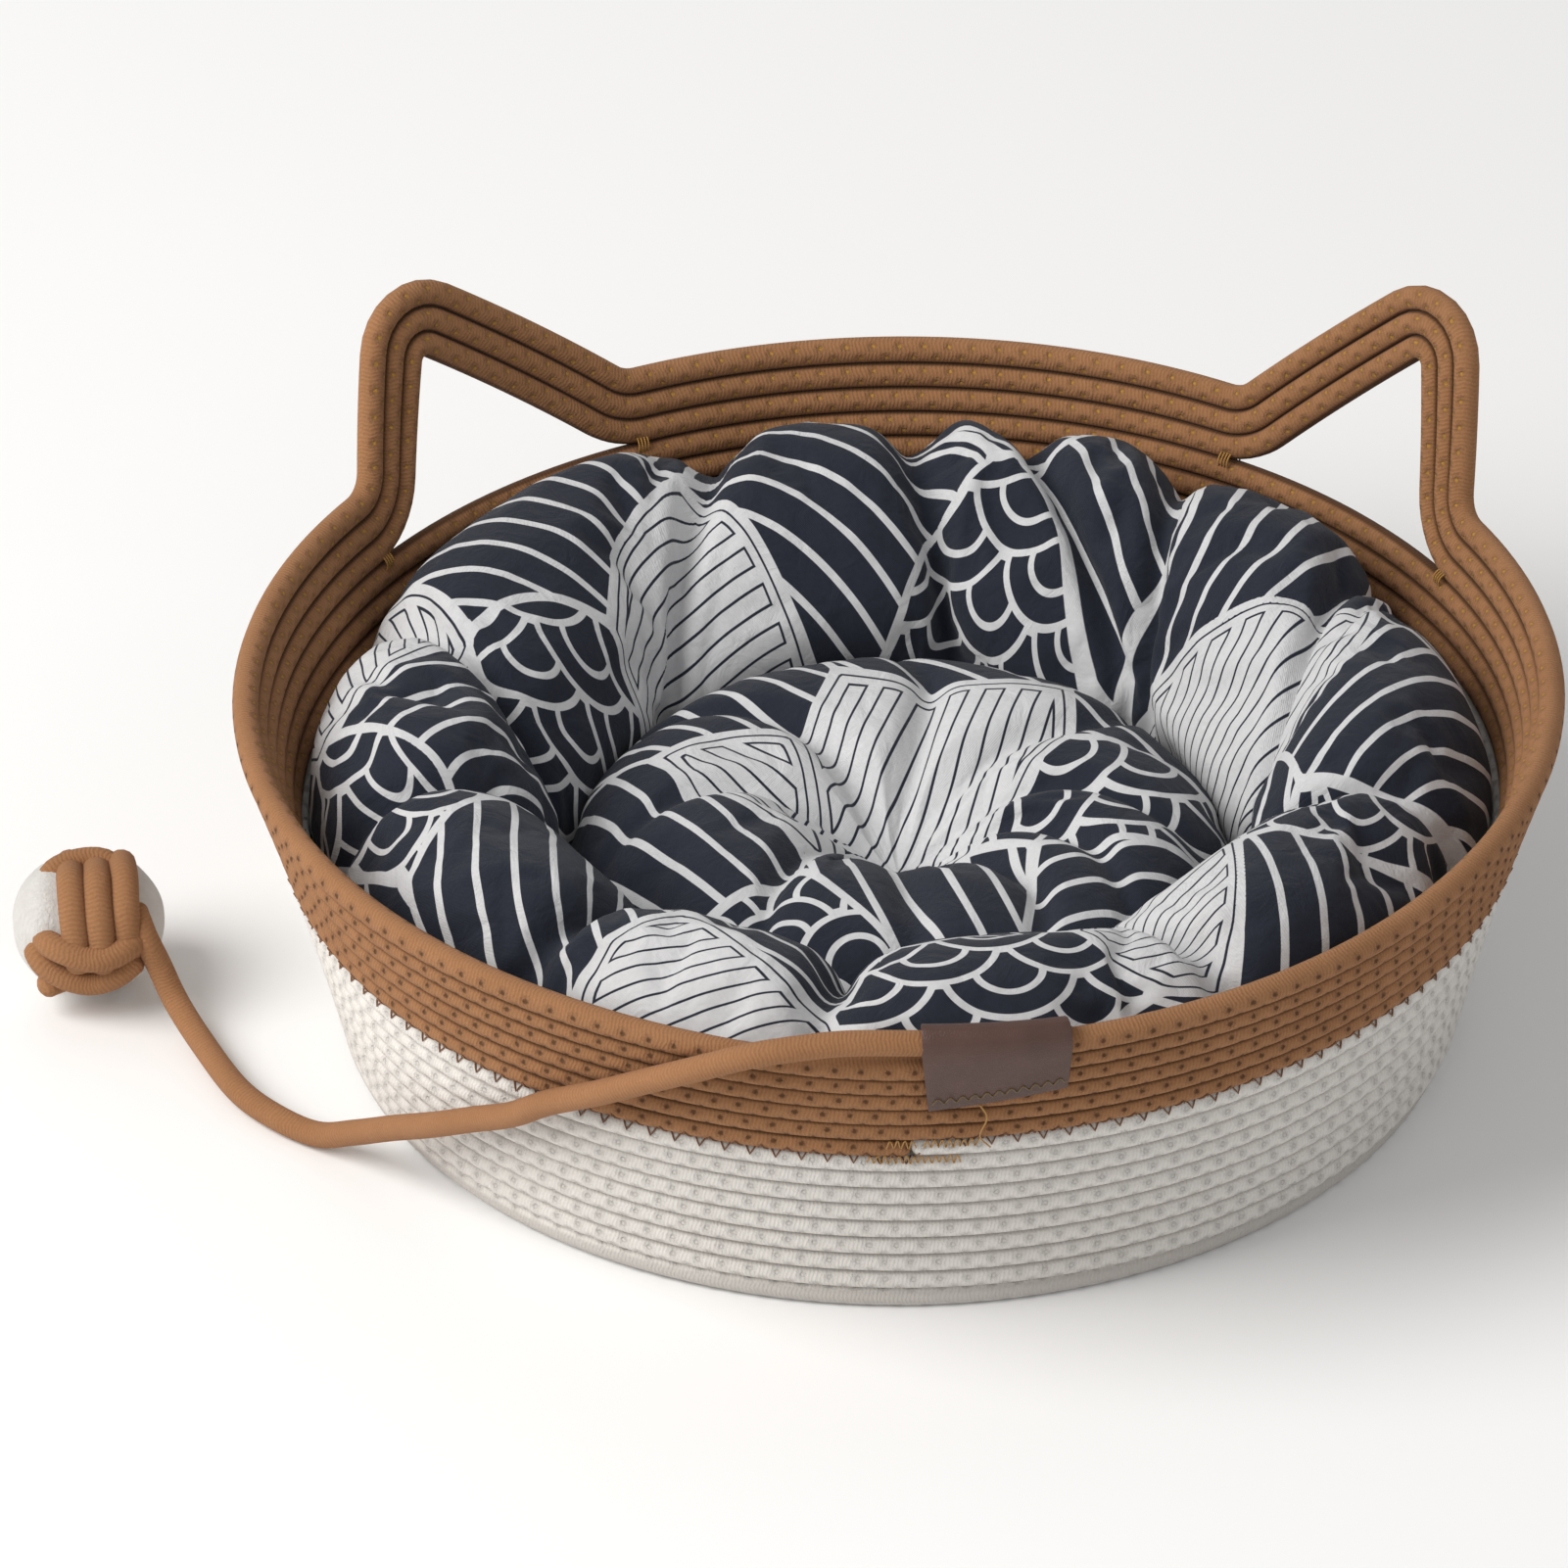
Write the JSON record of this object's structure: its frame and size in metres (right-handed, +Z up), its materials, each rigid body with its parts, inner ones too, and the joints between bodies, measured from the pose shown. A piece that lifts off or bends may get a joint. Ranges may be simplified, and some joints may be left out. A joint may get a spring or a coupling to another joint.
{
  "type": "cat bed basket",
  "caption": "Round cat bed of coiled white and brown cotton rope with two ear loops, a leather label, a rope tail ending in a knotted ball, and a printed donut cushion.",
  "frame": {"origin": "centre of the underside of the coiled base, on the floor", "axes": "+Z up out of the nest; -Y is the front, with the label; the two ear loops stand at the back, either side of +Y"},
  "size_m": [0.4723, 0.4096, 0.165],
  "materials": {
    "white_cotton_rope": "matte braided cotton, slightly fuzzy",
    "brown_cotton_rope": "matte braided cotton, slightly fuzzy",
    "brown_leather": "smooth, satin",
    "ochre_thread": "spun sewing thread",
    "printed_cotton": "plain-weave cotton, navy with a white line print",
    "fibre_filling": "loose polyester fibre"
  },
  "bodies": {
    "basket": {"base_coil": "white_cotton_rope", "white_course_01": "white_cotton_rope", "white_course_02": "white_cotton_rope", "white_course_03": "white_cotton_rope", "white_course_04": "white_cotton_rope", "white_course_05": "white_cotton_rope", "white_course_06": "white_cotton_rope", "white_course_07": "white_cotton_rope", "white_course_08": "white_cotton_rope", "white_course_09": "white_cotton_rope", "white_course_10": "white_cotton_rope", "brown_course_11": "brown_cotton_rope", "brown_course_12": "brown_cotton_rope", "brown_course_13": "brown_cotton_rope", "brown_ear_course_14": "brown_cotton_rope", "brown_ear_course_15": "brown_cotton_rope", "brown_ear_course_16": "brown_cotton_rope", "leather_label": "brown_leather", "ear_tack_right_outer": "ochre_thread", "ear_tack_right_inner": "ochre_thread", "ear_tack_left_outer": "ochre_thread", "ear_tack_left_inner": "ochre_thread"},
    "cushion": {"cushion_base_cloth": "printed_cotton", "bolster_filling": "fibre_filling", "pad_filling": "fibre_filling", "cushion_cover": "printed_cotton"},
    "tail": {"tail_rope": "brown_cotton_rope", "tail_ball_core": "white_cotton_rope", "tail_knot_upright_1": "brown_cotton_rope", "tail_knot_upright_2": "brown_cotton_rope", "tail_knot_upright_3": "brown_cotton_rope", "tail_knot_cross_1": "brown_cotton_rope", "tail_knot_cross_2": "brown_cotton_rope", "tail_knot_stub": "brown_cotton_rope"}
  },
  "joints": [
    {"name": "cushion_lift", "type": "slide", "parent": "basket", "child": "cushion", "axis": [0, 0, 1], "range_m": [0, 0.2]},
    {"name": "tail_swing", "type": "hinge", "parent": "basket", "child": "tail", "pos_m": [0.0134, -0.2008, 0.1187], "axis": [0, 0, 1], "range_deg": [0, 60]}
  ]
}
